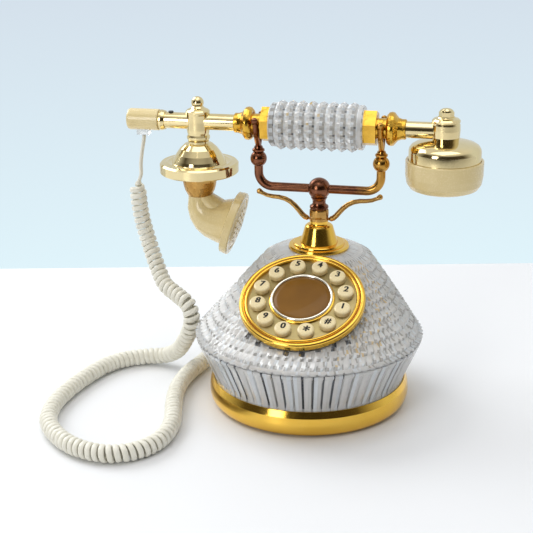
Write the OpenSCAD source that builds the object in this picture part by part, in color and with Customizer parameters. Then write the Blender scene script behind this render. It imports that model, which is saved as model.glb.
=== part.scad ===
// Push-button desk telephone in the French parlour style: a fluted glass body on a gilt base ring,
// a turned column with a cradle, a handset with a glass grip, and a curly cord.
// Millimetres, +Z up. The origin is on the table, under the middle of the telephone without its cord.

/* [Base] */
// Widest radius of the gilt base ring
base_r = 74; // [66:1:92]
// Height of the base ring's top edge above the table
base_h = 20; // [20:1:26]
// Thickness of the base ring's wall
ring_wall = 3.2; // [2.4:0.2:4]
// How far the rubber feet stand out below the base
foot_out = 1.5; // [1:0.5:2.5]
// Radius of a rubber foot
foot_r = 6; // [4:1:8]
// Thickness of the base plate
plate_t = 3; // [2.6:0.2:4]
// Width of a modular jack
jack_w = 13; // [12.5:0.5:16]

/* [Glass body] */
// Radius of the scalloped rim, the widest part of the glass
rim_r = 84; // [78:1:101]
// Height of the seam between the skirt and the dome
seam_z = 52; // [44:1:60]
// Radius of the flat crown under the column
crown_r = 34.5; // [32:0.5:42]
// Height of the crown
crown_z = 104; // [96:1:125]
// Distance from the base's axis back to the column's axis
column_y = 41; // [36:1:46]
// Thickness of the glass
glass_wall = 4; // [3:0.5:5]

/* [Dial] */
// Outer radius of the dial's bezel
bezel_r = 45.2; // [44:0.2:50]
// Width of the bezel seen from above
bezel_w = 6.2; // [5:0.2:7]
// Tilt of the dial from the horizontal
dial_tilt = 26; // [20:1:32]
// Distance from the column's axis forward to the dial's centre
dial_forward = 67.2; // [64:0.2:76]
// Height of the crown above the dial's centre
dial_drop = 18.8; // [14:0.2:24]
// Radius of the circle that the buttons stand on
button_ring_r = 31.5; // [29:0.5:32]
// Radius of a button's cap
button_r = 5.9; // [5:0.1:6.4]
// Height of a button's face above the dial
button_h = 5.6; // [4:0.1:8]
// Travel of a button
button_travel = 2.2; // [1.4:0.2:3]
// Outer radius of the ring round the centre card
centre_ring_r = 22; // [18:0.5:23]

/* [Column and cradle] */
// Radius of the column's flange
flange_r = 23; // [19:0.5:28]
// Height of the column from the crown to the top of its brass collar
column_h = 29.8; // [27:0.2:36]
// Radius of the hook rod
rod_r = 3.5; // [2.6:0.1:4]
// Travel of the cradle when the handset is lifted
hook_travel = 5; // [3:0.5:6]
// Radius of the cradle's round bar
bar_r = 3.3; // [2.5:0.1:4]
// Radius of the ball in the middle of the cradle
ball_r = 8.4; // [7:0.2:9]
// Distance from the column's axis to each cradle post
post_x = 46; // [45:0.5:47]
// Height of the cradle's bar above the brass collar
bar_rise = 15.7; // [14.5:0.1:18]
// Bend radius of the bar's centreline
bend_r = 10.7; // [9:0.1:12]
// Height of a fork's ball above the cradle's bar
post_h = 21.1; // [20:0.1:26]
// Radius of a fork's tine
tine_r = 2.1; // [1.6:0.1:2.4]

/* [Handset] */
// Height of the handset's axis above the forks' balls
hand_rise = 26.4; // [25:0.1:30]
// Radius of the handset's tube
tube_r = 6.1; // [5:0.1:6.4]
// Radius of the spools' waists, which lie in the forks
waist_r = 7.5; // [7:0.1:8.4]
// Inner end of each waist, from the column's axis
waist_in = 42.5; // [42:0.1:43]
// Outer end of each waist, from the column's axis
waist_out = 49.5; // [49:0.1:51]
// Length of the left ferrule
left_ferrule = 6.5; // [4:0.5:9]
// Length of the right ferrule
right_ferrule = 9; // [4:0.5:12]
// Corner radius of the hexagonal ferrules
ferrule_r = 13.6; // [12:0.1:15]
// Radius of the glass grip over its studs
grip_r = 18.4; // [16:0.2:20]
// Distance from the column's axis to the transmitter's axis
transmitter_x = 92.1; // [90:0.1:100]
// Distance from the column's axis to the receiver's axis
receiver_x = 91.9; // [90:0.1:100]
// Distance from the column's axis to the handset's left end
cap_end = 146.4; // [144:0.1:160]
// Radius of the cord-end cap
cap_r = 8; // [7.6:0.1:9]
// Length of the cord-end cap
cap_len = 24.5; // [23.5:0.1:25]
// Radius of the transmitter's disc
disc_r = 29.8; // [26:0.2:34]
// Radius of the mouthpiece
mouth_r = 24.6; // [22:0.2:26]
// Downward tilt of the mouthpiece
mouth_tilt = 17; // [10:1:24]
// Radius of the ear cap
ear_r = 28.3; // [26:0.1:32]
// Height of the ear cap
ear_h = 22; // [20:0.5:26]

/* [Cord] */
// Outer radius of the curly cord
curl_r = 6.5; // [5:0.1:7]
// Radius of the straight leads
lead_r = 1.3; // [1:0.1:1.6]

/* [Fits] */
// Gap between pieces that don't move
fit_gap = 0.3; // [0.2:0.05:0.4]
// Gap round a tube or a spigot in its bore
slip = 0.05; // [0.03:0.01:0.1]
// Gap round moving pieces
run_gap = 0.3; // [0.25:0.05:0.4]

/* [Hidden] */
$fn = 96;
eps = 0.01;

// Places that follow from the driving sizes
right_end = receiver_x + ear_r;
origin_x = (cap_end - right_end) / 2;
plate_top = foot_out + plate_t;
ring_lip = 3.1;
seat_r = base_r - ring_lip;
seat_depth = 3;
seat_z = base_h - seat_depth;
ledge_t = 2.4;
ledge_r = seat_r - fit_gap - glass_wall;
plate_r = ledge_r - fit_gap;
board_rise = 4;
ring_in_r = base_r - 0.6 - ring_wall;
lug_r = 4;
lug_ring = ledge_r - 7;
lug_angles = [20, 160, 200, 340];
foot_ring = ledge_r - foot_r - 4;
foot_sink = 1.2;
screw_r = 1.4;
screw_len = 9;
head_r = 2.9;
head_t = 1.6;
jack_in = base_r - 17;
jack_out = base_r - 2;
jack_h = 9.5;
jack_hole = [9.8, 6.8];
jack_z = plate_top + jack_h / 2;
plug_size = [9.5, 6.4];
plug_out = 3;
line_angle = 90;
cord_angle = 128;

dial_y = column_y - dial_forward;
dial_z = crown_z - dial_drop;
bore_r = bezel_r - 2.2;
housing_r = bore_r - fit_gap;
housing_wall = 2.4;
plate_edge_r = bore_r - 2.6;
dial_t = 1.6;
dial_top = 0;
window_r = bezel_r - bezel_w;
button_hole_r = button_r + run_gap;
button_flange_r = button_r + 1.2;
flange_top = dial_top - dial_t - run_gap;
flange_t = 1.4;
stem_r = 2;
stem_low = flange_top - flange_t - 1.2;
membrane_top = stem_low - button_travel - run_gap;
membrane_t = 1.4;
board_t = 1.6;
floor_top = membrane_top - membrane_t - board_t;
floor_t = 2;
button_angles = [345, 15, 45, 75, 105, 135, 165, 195, 225, 255, 285, 315];

flange_z = crown_z;
bell_z = crown_z + 4.4;
collar_top = crown_z + column_h;
arm_ring_z = collar_top - 8.6;
collar_z = arm_ring_z + 2;
bell_top = arm_ring_z;
spigot_r = 8;
spigot_z = crown_z - 11.5;
nut_h = 4.5;
strap_t = 1.5;
cavity_r = 7.4;
cavity_top = bell_top - 4.4;
rod_z = crown_z - 20;
shoulder_r = 6.2;
shoulder_t = 1.5;
shoulder_top = cavity_top - hook_travel - run_gap;
spring_r = 5.2;
spring_wire = 0.45;
spring_turns = 4;
bar_z = collar_top + bar_rise;
cradle_z = collar_top + run_gap;
fork_z = bar_z + post_h;
fork_ball_r = 6.2;
hand_z = fork_z + hand_rise;
saddle_r = waist_r + run_gap + tine_r;
crotch_z = fork_z + 9.4;

cap_start = cap_end - cap_len;
plug_x = cap_end - 11.6;
plug_drop = cap_r + 3.4;
tube_left = plug_x - jack_hole[0] / 2 - 1.2;
tube_wall = 1.3;
screw_x = -cap_start + 9;
tee_top = 10.6;
bell_low = hand_z - 39;
bell_h = 24.4;
cup_h = 17.8;
horn_z = bell_low - cup_h;
cup_lip = 4.4;
ear_low = hand_z - 43;
mouth_c = [-transmitter_x + 22.6, horn_z - 20.2];
mouth_t = 3.4;

// The cord's way from the handset's plug to the base's: drawn round a base of route_r, with its curl
// hung from route_top, then moved to where the base and the handset's plug are
route_r = 74;
route_top = [-139.6, 41, 148];
route_low = 6.6;
lying_z = curl_r + 0.1;
plug_low = hand_z - plug_drop;
curl_top = [-plug_x - 4.8, column_y, plug_low - 37.6];
lead_top = [for (p = [[0, -0.3], [-0.4, -4.6], [-2.2, -13.6], [-4.2, -23.6], [-4.8, -30.6], [-4.8, -37.6]])
    [p[0] - plug_x, column_y, plug_low + p[1]]];

function routed(p) =
    let (hung = (p[2] - route_low) / (route_top[2] - route_low), flat = [p[0], p[1], 0],
        moved = [curl_top[0] - route_top[0], curl_top[1] - route_top[1], curl_top[2] - lying_z])
    flat + (1 - hung) * (base_r - route_r) * flat / norm(flat) + hung * moved + [0, 0, lying_z];

curl_route = [for (p = [[-139.6, 41, 148], [-139.8, 41, 140], [-138.8, 41, 120], [-134, 40, 100],
    [-125, 31, 81.5], [-117, 23, 71.5], [-106, 16, 67], [-95, 8.5, 62], [-91.6, 6, 52], [-94, 8, 42],
    [-99.6, 14, 31], [-109, 24, 17], [-121, 30, 9], [-136, 30, 6.6], [-151, 22, 6.6], [-163, 7, 6.6],
    [-171, -16, 6.6], [-176, -42, 6.6], [-177, -68, 6.6], [-171, -93, 6.6], [-156, -113, 6.6],
    [-136, -127, 6.6], [-113, -131, 6.6], [-95, -122, 6.6], [-84.5, -103, 6.6], [-84, -78, 6.6],
    [-91, -50, 6.6], [-96, -24, 6.6], [-96, 2, 6.6], [-91, 26, 6.6], [-87, 44, 6.6]]) routed(p)];
jack_end = jack_out + plug_out;
lead_low = concat(
    [for (p = [[-87, 44, 6.6], [-84.5, 55, 6.2], [-80.5, 66, 5.6], [-74, 75, 5.8], [-66, 79, 7.2]])
        routed(p)],
    [for (r = [16, 6, 0]) [(jack_end + r) * cos(cord_angle), (jack_end + r) * sin(cord_angle), jack_z]]);

// A turned piece: a profile of [radius, height] points swept round Z
module lathe(profile) rotate_extrude() polygon(profile);

// The same, round the X axis: each point is [radius, x]
module lathe_x(profile) rotate([0, 90, 0]) rotate_extrude() polygon(profile);

module tube(r, hole, h) difference() {
    cylinder(r = r, h = h);
    translate([0, 0, -eps]) cylinder(r = hole, h = h + 2 * eps);
}

// Points of an arc about [x, y], from angle a to b, in n steps
function arc(x, y, r, a, b, n) =
    [for (i = [0 : n]) let (t = a + (b - a) * i / n) [x + r * cos(t), y + r * sin(t)]];

// One ring of a swept tube: a circle round point i, square to the route there
lean = [1, 1, -1] / sqrt(3);
function heading(p, i) = let (d = p[min(i + 1, len(p) - 1)] - p[max(i - 1, 0)]) d / norm(d);
function ring_at(p, i, r, sides) =
    let (t = heading(p, i), c = cross(t, lean), u = c / norm(c), w = cross(t, u))
    [for (k = [0 : sides - 1]) p[i] + r * (cos(360 * k / sides) * u + sin(360 * k / sides) * w)];

// A tube swept along a route, with flat ends; radii holds one radius for each point
module swept(p, radii, sides) {
    n = len(p);
    points = [for (i = [0 : n - 1]) each ring_at(p, i, radii[i], sides)];
    walls = [for (i = [0 : n - 2], k = [0 : sides - 1])
        let (a = i * sides + k, b = i * sides + (k + 1) % sides)
        each [[a, a + sides, b], [b, a + sides, b + sides]]];
    near = [[for (k = [0 : sides - 1]) k]];
    far = [[for (k = [sides - 1 : -1 : 0]) (n - 1) * sides + k]];
    polyhedron(points = points, faces = concat(near, walls, far));
}

module on_dial() translate([0, dial_y, dial_z]) rotate([dial_tilt, 0, 0]) children();

module on_column() translate([0, column_y, 0]) children();

// The handset's own frame: X along its tube, from the column's axis
module on_handset() translate([0, column_y, hand_z]) children();

// Moves the whole telephone so that its middle is over the origin
module seated() translate([origin_x, 0, 0]) children();

// ---- Base ----

module rubber_feet() color("#e9dfc4") for (a = [45 : 90 : 315]) rotate(a) translate([foot_ring, 0, 0])
    lathe([[0, 0], [foot_r - 0.8, 0], [foot_r, 0.8], [foot_r, foot_out + foot_sink],
        [0, foot_out + foot_sink]]);

module base_plate() color("#2b2a28") difference() {
    union() {
        translate([0, 0, foot_out]) cylinder(r = plate_r, h = plate_t);
        for (x = [-38, 38], y = [-28, 24]) translate([x, y, plate_top - eps])
            cylinder(r = 3, h = board_rise + eps, $fn = 32);
    }
    for (a = [45 : 90 : 315]) rotate(a) translate([foot_ring, 0, foot_out - eps])
        cylinder(r = foot_r + slip, h = foot_sink + eps);
    for (a = lug_angles) rotate(a) translate([lug_ring, 0, foot_out - eps]) {
        cylinder(r = screw_r + 0.3, h = plate_t + 1, $fn = 32);
        cylinder(r = head_r + 0.2, h = head_t + 0.1 + eps, $fn = 32);
    }
}

module base_screws() color("#8d8f92") for (a = lug_angles) rotate(a) translate([lug_ring, 0, foot_out + 0.1])
    difference() {
        union() {
            cylinder(r = head_r, h = head_t, $fn = 32);
            translate([0, 0, head_t - eps]) cylinder(r = screw_r, h = screw_len, $fn = 32);
        }
        for (b = [0, 90]) rotate(b) translate([-1.8, -0.35, -eps]) cube([3.6, 0.7, 0.9]);
    }

module jack_window(a, out) rotate(a) translate([jack_in - 2, -jack_w / 2 - fit_gap, plate_top - 0.2])
    cube([out, jack_w + 2 * fit_gap, jack_h + 0.4]);

module base_ring() color("#d9a92e") {
    lug_top = seat_z - ledge_t;
    bulge = 7.5;
    difference() {
        lathe(concat(
            [[ledge_r, foot_out], [base_r - 4.5, foot_out]],
            [for (t = [15 : 15 : 90]) [base_r - 4.5 + 4.5 * sin(t), foot_out + bulge * (1 - cos(t))]],
            [[base_r, base_h - 9.5], [base_r - 0.6, base_h - 4.5], [base_r - 2.5, base_h], [seat_r, base_h],
            [seat_r, seat_z], [ledge_r, seat_z], [ledge_r, lug_top], [ring_in_r, lug_top],
            [ring_in_r, foot_out + 5], [ring_in_r - 2.6, foot_out + 2.2], [ledge_r, foot_out + 2.2]]));
        jack_window(line_angle, 30);
        jack_window(cord_angle, 30);
    }
    for (a = lug_angles) rotate(a) difference() {
        union() {
            translate([lug_ring, 0, plate_top]) cylinder(r = lug_r, h = seat_z - plate_top - eps, $fn = 32);
            translate([lug_ring, -2.5, plate_top])
                cube([ring_in_r - lug_ring + 1, 5, lug_top - plate_top + 1]);
        }
        translate([lug_ring, 0, plate_top - eps]) cylinder(r = screw_r + slip, h = screw_len, $fn = 32);
    }
}

// A modular jack whose mouth looks out along +X, with its back at jack_in
module jack() difference() {
    translate([jack_in, -jack_w / 2, plate_top]) cube([jack_out - jack_in, jack_w, jack_h]);
    translate([jack_in + 2, -jack_hole[0] / 2, jack_z - jack_hole[1] / 2])
        cube([jack_out, jack_hole[0], jack_hole[1]]);
}

module rear_jacks() color("#1f1e1d") for (a = [line_angle, cord_angle]) rotate(a) jack();

module main_board() color("#2f6b3c") translate([0, -2, plate_top + board_rise]) {
    translate([-44, -32, 0]) cube([88, 64, 1.6]);
    translate([-36, -20, 1.6 - eps]) cube([26, 22, 9]);
    translate([8, -24, 1.6 - eps]) cube([18, 12, 3]);
    translate([-4, 8, 1.6 - eps]) cube([9, 20, 2.5]);
    translate([22, 14, 1.6 - eps]) cylinder(r = 12, h = 4);
    for (x = [-24 : 12 : 0]) translate([x - 10, 16, 1.6 - eps]) cylinder(r = 4, h = 11, $fn = 32);
    translate([32, -18, 1.6 - eps]) cylinder(r = 3, h = 8, $fn = 32);
}

// ---- Glass body ----

module glass_skirt() color("#dfe6e6", 0.6) lathe([
    [seat_r - fit_gap - glass_wall, seat_z], [seat_r - fit_gap, seat_z], [seat_r - fit_gap, base_h + 0.5],
    [rim_r - 0.8, seam_z - 3.5], [rim_r, seam_z - 1.5], [rim_r, seam_z], [rim_r - glass_wall, seam_z],
    [rim_r - glass_wall - 0.8, seam_z - 3.5], [seat_r - fit_gap - glass_wall, base_h + 0.5]]);

module disc(r, y, z) translate([0, y, z - 0.5]) cylinder(r = r, h = 0.5, $fn = 96);

dome_foot = rim_r - 7;

module glass_dome() color("#dfe6e6", 0.6) difference() {
    union() {
        hull() {
            disc(dome_foot, 2, seam_z + 3);
            disc(crown_r, column_y, crown_z);
        }
        lathe([[rim_r - 10, seam_z], [rim_r, seam_z], [rim_r, seam_z + 1.5], [rim_r - 2, seam_z + 3.6],
            [dome_foot + 0.5, seam_z + 5.5], [rim_r - 10, seam_z + 5.5]]);
        on_dial() translate([0, 0, -10]) cylinder(r = bore_r + glass_wall, h = 10 + dial_top - dial_t);
    }
    hull() {
        disc(dome_foot - glass_wall, 2, seam_z + 2.5);
        disc(crown_r - glass_wall, column_y, crown_z - glass_wall);
    }
    on_dial() {
        translate([0, 0, -40]) cylinder(r = bore_r, h = 60);
        translate([0, 0, dial_top - dial_t]) cylinder(r = bezel_r + fit_gap, h = 20);
    }
    on_column() translate([0, 0, crown_z - 20]) cylinder(r = spigot_r + fit_gap, h = 40);
}

// ---- Dial ----

module dial_housing() color("#3a3835") on_dial() difference() {
    translate([0, 0, floor_top - floor_t])
        cylinder(r = housing_r, h = dial_top - dial_t - floor_top + floor_t);
    translate([0, 0, floor_top]) cylinder(r = housing_r - housing_wall, h = 40);
    translate([0, 20, floor_top - floor_t - eps]) cylinder(r = 5, h = floor_t + 1);
}

// Bezel: a polished roll outside, a groove, and a lower roll that holds the dial plate's edge
module dial_bezel() color("#e0ad33") on_dial() lathe(concat(
    [[plate_edge_r + fit_gap, dial_top - dial_t], [bezel_r, dial_top - dial_t], [bezel_r, dial_top + 1]],
    arc(bezel_r - 1.9, dial_top + 1.3, 1.9, 0, 170, 5),
    [[bezel_r - 4.2, dial_top + 1.2]],
    arc(window_r + 1, dial_top + 1.2, 1, 60, 180, 3),
    [[window_r, dial_top + 0.1], [plate_edge_r + fit_gap, dial_top + 0.1]]));

module dial_plate() color("#8f8250") on_dial() difference() {
    translate([0, 0, dial_top - dial_t]) cylinder(r = plate_edge_r, h = dial_t);
    for (a = button_angles) rotate(a) translate([button_ring_r, 0, -20]) cylinder(r = button_hole_r, h = 40);
    translate([0, 0, -20]) cylinder(r = centre_ring_r - 5, h = 40);
}

module dial_centre_ring() color("#d8d2bd") on_dial() lathe(concat(
    [[centre_ring_r - 6.5, dial_top - 2.6], [centre_ring_r - 5 - slip, dial_top - 2.6]],
    [[centre_ring_r - 5 - slip, dial_top], [centre_ring_r, dial_top], [centre_ring_r, dial_top + 0.8]],
    arc(centre_ring_r - 2, dial_top + 1.2, 1.1, 0, 170, 5),
    [[centre_ring_r - 3.1, dial_top + 0.6], [centre_ring_r - 6.5, dial_top + 0.6]]));

// The round card under its clear lens
module dial_card() color("#6b4416") on_dial() {
    spigot = centre_ring_r - 6.5 - slip;
    edge = centre_ring_r - 3.3;
    lathe([[0, dial_top - 1], [spigot, dial_top - 1], [spigot, dial_top + 0.6], [edge, dial_top + 0.6],
        [edge, dial_top + 0.9], [centre_ring_r - 5, dial_top + 1.4], [centre_ring_r - 12, dial_top + 1.8],
        [0, dial_top + 2]]);
}

module button(i) color("#f0dca4") on_dial() rotate(button_angles[i]) translate([button_ring_r, 0, 0]) {
    top = dial_top + button_h;
    lathe([[0, stem_low], [stem_r, stem_low], [stem_r, flange_top - flange_t],
        [button_flange_r, flange_top - flange_t], [button_flange_r, flange_top], [button_r, flange_top],
        [button_r, top - 1.2], [button_r - 0.35, top - 0.4], [button_r - 1.2, top], [0, top]]);
}

// Rubber sheet with a raised collar round each button's stem
module keypad_membrane() color("#c9c6bd") on_dial() {
    translate([0, 0, membrane_top - membrane_t])
        cylinder(r = housing_r - housing_wall - fit_gap, h = membrane_t);
    for (a = button_angles) rotate(a) translate([button_ring_r, 0, membrane_top - eps])
        tube(4.4, 3, 0.9, $fn = 32);
}

module keypad_board() color("#2f6b3c") on_dial() translate([0, 0, floor_top])
    cylinder(r = housing_r - housing_wall - fit_gap, h = board_t);

// ---- Column ----

module column_flange() color("#dcaa31") on_column() difference() {
    lathe([[0, spigot_z], [spigot_r, spigot_z], [spigot_r, flange_z], [flange_r - 0.3, flange_z],
        [flange_r, flange_z + 1.2], [flange_r - 0.7, flange_z + 2.6], [flange_r - 3.4, flange_z + 2.8],
        [flange_r - 3.7, flange_z + 4], [flange_r - 4.2, bell_z], [0, bell_z]]);
    translate([0, 0, spigot_z - 1]) cylinder(r = rod_r + run_gap, h = 60);
}

module column_nut() color("#b9b5a8") on_column() translate([0, 0, crown_z - glass_wall - strap_t - nut_h])
    difference() {
        cylinder(r = 13, h = nut_h, $fn = 6);
        translate([0, 0, -1]) cylinder(r = spigot_r + slip, h = nut_h + 2);
    }

module column_bell() color("#e2b138") on_column() {
    h = bell_top - bell_z;
    difference() {
        lathe([[0, bell_z], [14.4, bell_z], [14.1, bell_z + 1], [12.6, bell_z + 0.3 * h],
            [11.4, bell_z + 0.55 * h], [10.8, bell_z + 0.68 * h], [10.3, bell_z + 0.75 * h],
            [9, bell_z + 0.81 * h],
            [7.1, bell_z + 0.835 * h], [6.9, bell_z + 0.88 * h], [6.9, bell_top], [0, bell_top]]);
        translate([0, 0, bell_z - eps]) cylinder(r = cavity_r, h = cavity_top - bell_z + eps);
        translate([0, 0, bell_z - 1]) cylinder(r = rod_r + run_gap, h = h + 2);
    }
}

module column_collar() color("#a9762c") on_column() {
    mid = (collar_z + collar_top) / 2;
    lathe([[rod_r + run_gap, collar_z], [6.9, collar_z], [7.2, collar_z + 1.6], [7.3, mid],
        [7.2, collar_top - 0.8], [6.8, collar_top], [rod_r + run_gap, collar_top]]);
}

// A pair of S-shaped brass arms on one ring, clamped under the collar
arm_line = [[6.2, 1], [7.5, 1], [8.9, 1.2], [10.8, 1.9], [13, 3.9], [15.6, 7.1], [18.6, 10.4], [22, 13.2],
    [26, 15.2], [30.6, 16.2], [35.4, 16.5], [39.6, 17.2], [43, 18.6], [44.8, 19.6], [45.6, 20],
    [46.6, 20.6], [47.4, 21]];
arm_radii = [0.95, 0.95, 2, 2.1, 2.05, 2, 1.95, 1.9, 1.85, 1.75, 1.65, 1.55, 1.5, 1.9, 2.2, 2, 0.9];

module scroll_arms() color("#a27431") on_column() {
    translate([0, 0, arm_ring_z]) tube(7.2, rod_r + run_gap, collar_z - arm_ring_z);
    for (s = [-1, 1])
        swept([for (p = arm_line) [s * p[0], 0, arm_ring_z + p[1]]], arm_radii, 12);
}

// Coil spring round the rod, from the flange's face up to the rod's shoulder
module hook_spring() color("#b9bcc0") on_column() {
    low = bell_z + spring_wire;
    high = shoulder_top - shoulder_t - spring_wire;
    steps = spring_turns * 12;
    coil = [for (i = [0 : steps])
        [spring_r * cos(30 * i), spring_r * sin(30 * i), low + (high - low) * i / steps]];
    swept(coil, [for (p = coil) spring_wire], 6);
}

// Micro switch on a strap that the column nut clamps, with its lever under the rod
module hook_switch() color("#45423c") on_column() {
    strap_z = crown_z - glass_wall - strap_t;
    body_z = rod_z - 14;
    difference() {
        translate([-16, -9, strap_z]) cube([32, 18, strap_t]);
        translate([0, 0, strap_z - 1]) cylinder(r = spigot_r + slip, h = strap_t + 2);
    }
    for (s = [-1, 1]) translate([s * 15.2 - 0.8, -5, body_z]) cube([1.6, 10, strap_z - body_z + eps]);
    translate([-15.2, -4.5, body_z]) cube([30.4, 9, 11]);
    translate([-8, -2.5, body_z + 11 - eps]) cube([16, 5, rod_z - run_gap - body_z - 11]);
}

// ---- Cradle, which rises with the hook ----

module hook_rod() color("#9b9a96") on_column() lathe([
    [0, rod_z], [rod_r, rod_z], [rod_r, shoulder_top - shoulder_t], [shoulder_r, shoulder_top - shoulder_t],
    [shoulder_r, shoulder_top], [rod_r, shoulder_top], [rod_r, cradle_z + 6], [0, cradle_z + 6]]);

module cradle_ball() color("#5c3524") on_column() difference() {
    union() {
        lathe([[0, cradle_z], [6.6, cradle_z], [7.1, cradle_z + 1.2], [6.9, cradle_z + 2.4],
            [5.4, cradle_z + 3.4], [4.9, cradle_z + 4.6], [5, cradle_z + 6.6], [6.2, cradle_z + 9],
            [0, bar_z - 3]]);
        translate([0, 0, bar_z]) sphere(r = ball_r);
    }
    translate([-20, 0, bar_z]) rotate([0, 90, 0]) cylinder(r = bar_r + slip, h = 40);
    translate([0, 0, cradle_z - 1]) cylinder(r = rod_r + slip, h = 7);
}

// One round bar bent up at both ends
module cradle_yoke() color("#5c3524") on_column() {
    half = post_x - bend_r;
    translate([-half, 0, bar_z]) rotate([0, 90, 0]) cylinder(r = bar_r, h = 2 * half);
    for (s = [0, 1]) mirror([s, 0, 0]) {
        translate([half, 0, bar_z + bend_r]) rotate([90, 0, 0]) rotate_extrude(angle = 90, start = 270)
            translate([bend_r, 0]) circle(r = bar_r);
        translate([post_x, 0, bar_z + bend_r]) cylinder(r = bar_r, h = post_h - bend_r - 3);
    }
}

// Each fork is one casting: a ball, a collar and two tines that hold a spool's waist between them
module cradle_forks() color("#6b4023") on_column() {
    drop = hand_z - crotch_z;
    half = asin(saddle_r / drop);
    flat = drop * cos(half);
    bend = 16;
    tip = 6.2;
    up = bend - half;
    end = [saddle_r * cos(up), hand_z + saddle_r * sin(up)];
    tine = concat(
        [for (t = [-1.2, flat * 0.5]) [t * sin(half), crotch_z + t * cos(half)]],
        arc(0, hand_z, saddle_r, -half, up, 4),
        [for (t = [0.5 * tip, tip, tip + 1, tip + 2.2, tip + 3.4, tip + 4.2, tip + 4.6])
            end + t * [-sin(up), cos(up)]]);
    radii = tine_r * [1, 1, 1, 1, 1, 1, 1, 0.97, 0.93, 1.12, 1.22, 1.08, 0.72, 0.3];
    for (s = [-1, 1]) translate([s * post_x, 0, 0]) {
        difference() {
            translate([0, 0, fork_z]) sphere(r = fork_ball_r);
            translate([0, 0, fork_z - 10]) cylinder(r = bar_r + slip, h = 7.1);
        }
        translate([0, 0, fork_z + 5])
            lathe([[0, 0], [3.6, 0], [4.6, 1], [4.6, 2.2], [3.4, 3.1], [3, 4.6], [0, 4.8]]);
        for (m = [-1, 1]) swept([for (p = tine) [0, m * p[0], p[1]]], radii, 12);
    }
}

// ---- Handset ----

module handset_tube() color("#dccb8d") on_handset() difference() {
    translate([-tube_left, 0, 0]) rotate([0, 90, 0]) cylinder(r = tube_r, h = tube_left + receiver_x + 5);
    translate([-tube_left - 1, 0, 0]) rotate([0, 90, 0]) cylinder(r = tube_r - tube_wall, h = 300);
    translate([screw_x, 0, 0]) cylinder(r = 1.2 + slip, h = tube_r + 1, $fn = 32);
    translate([-transmitter_x, 0, -tube_r - 1]) cylinder(r = 2.5, h = tube_r, $fn = 32);
}

// The moulded glass grip: plain ends and a barrel that its rows of studs fill
module glass_grip() color("#dfe6e6", 0.6) on_handset() {
    a = -(waist_in - left_ferrule);
    b = waist_in - right_ferrule;
    plain = 4.5;
    lathe_x([[tube_r + slip, a], [grip_r - 2.8, a], [grip_r - 2, a + 1], [grip_r - 2, a + plain],
        [grip_r - 0.6, a + plain + 2], [grip_r, (a + b) / 2], [grip_r - 0.6, b - plain - 2],
        [grip_r - 2, b - plain], [grip_r - 2, b - 1], [grip_r - 2.8, b], [tube_r + slip, b]]);
}

// A spool on the tube's right: hexagonal ferrule, waist, round flange, cone and bead
module spool(ferrule) difference() {
    union() {
        translate([waist_in - ferrule, 0, 0]) rotate([0, 90, 0]) rotate(10)
            cylinder(r = ferrule_r, h = ferrule, $fn = 6);
        lathe_x([[0, waist_in - 1], [waist_r, waist_in - 1], [waist_r, waist_out], [10.4, waist_out + 0.3],
            [12, waist_out + 1.8], [12.4, waist_out + 3.6], [12, waist_out + 5.4], [10.2, waist_out + 6.9],
            [8.4, waist_out + 8.4], [7.6, waist_out + 10.6], [7.4, waist_out + 11.4], [7.4, waist_out + 13.6],
            [6.9, waist_out + 14.2], [0, waist_out + 14.2]]);
    }
    rotate([0, 90, 0]) cylinder(r = tube_r + slip, h = 200);
}

module spools() color("#d6a02e") on_handset() {
    mirror([1, 0, 0]) spool(left_ferrule);
    spool(right_ferrule);
}

module cord_cap() color("#ead59c") on_handset() difference() {
    lathe_x([[0, -cap_end], [cap_r - 1.6, -cap_end], [cap_r - 0.5, -cap_end + 0.5], [cap_r, -cap_end + 1.6],
        [cap_r, -cap_start - 0.5], [cap_r - 0.5, -cap_start], [0, -cap_start]]);
    translate([-tube_left, 0, 0]) rotate([0, 90, 0]) cylinder(r = tube_r + slip, h = 40);
    translate([-plug_x - jack_hole[0] / 2, -jack_hole[1] / 2, -cap_r - 1])
        cube([jack_hole[0], jack_hole[1], cap_r + 2]);
}

module cap_ring() color("#dccb8d") on_handset() {
    a = -cap_start;
    lathe_x([[tube_r + slip, a], [7.2, a], [7.7, a + 0.8], [7.7, a + 2.2], [7.3, a + 3.6], [7, a + 4.6],
        [tube_r + slip, a + 4.6]]);
}

module set_screw() color("#1b1b1b") on_handset() {
    translate([screw_x, 0, tube_r]) difference() {
        union() {
            cylinder(r = 1.9, h = 0.9, $fn = 32);
            translate([0, 0, -tube_wall]) cylinder(r = 1.2, h = tube_wall + eps, $fn = 32);
        }
        translate([-2.2, -0.3, 0.5]) cube([4.4, 0.6, 1]);
    }
}

// Clear modular plug, nose up in the cap
module handset_plug() color("#d9dee0", 0.7) on_handset()
    translate([-plug_x - plug_size[0] / 2, -plug_size[1] / 2, -plug_drop])
    cube([plug_size[0], plug_size[1], plug_drop + 0.6]);

module transmitter_tee() color("#dccb8d") on_handset() translate([-transmitter_x, 0, 0]) difference() {
    lathe([[0, bell_low + bell_h - hand_z], [7.4, bell_low + bell_h - hand_z], [8.2, -13.8], [8.7, -12.6],
        [8.7, -11.2], [7.9, -9.8], [8.3, -8.2], [8.6, -6], [8.4, 0], [8.6, 5.4], [9, 6.4], [9, 8], [0, 8]]);
    translate([-20, 0, 0]) rotate([0, 90, 0]) cylinder(r = tube_r + slip, h = 40);
    translate([0, 0, -30]) cylinder(r = 3, h = 27, $fn = 32);
}

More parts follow.
